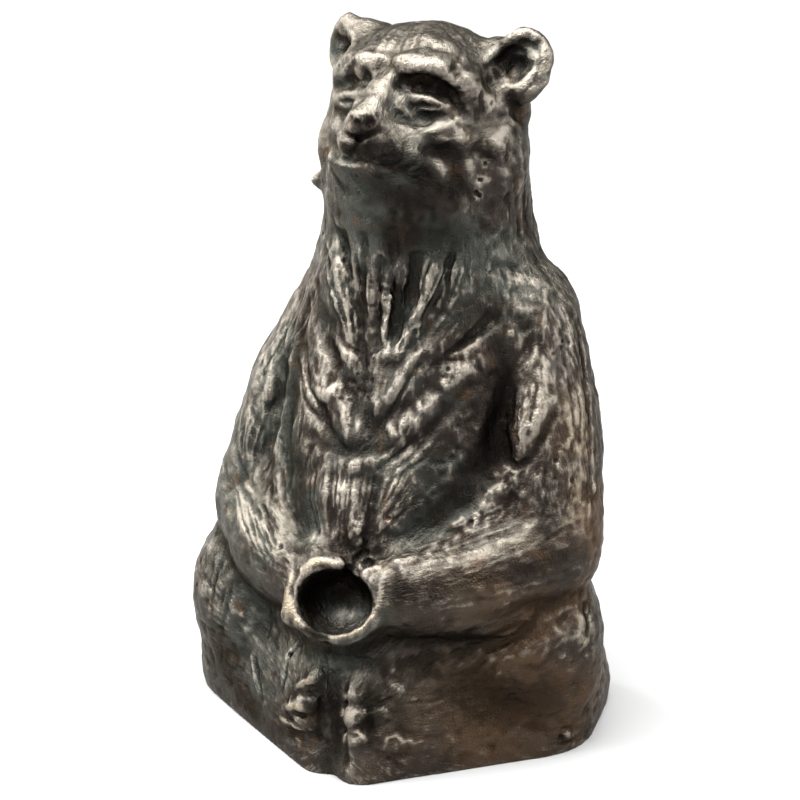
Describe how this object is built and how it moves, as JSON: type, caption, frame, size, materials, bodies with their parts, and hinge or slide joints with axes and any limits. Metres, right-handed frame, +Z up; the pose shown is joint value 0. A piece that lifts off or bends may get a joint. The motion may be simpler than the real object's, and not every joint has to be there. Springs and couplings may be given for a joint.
{
  "type": "bear sculpture",
  "caption": "Seated bear figure in cast bronze, closed forepaws round a shallow open cup before the belly, flat underside to stand on.",
  "frame": {"origin": "ground level under the middle of the body, in the plane of the flat underside", "axes": "+Z up; the bear faces -Y; +X is the bear's own left"},
  "size_m": [0.1789, 0.1597, 0.2902],
  "materials": {
    "bronze": null
  },
  "bodies": {
    "root": {"bear": "bronze"}
  },
  "joints": []
}
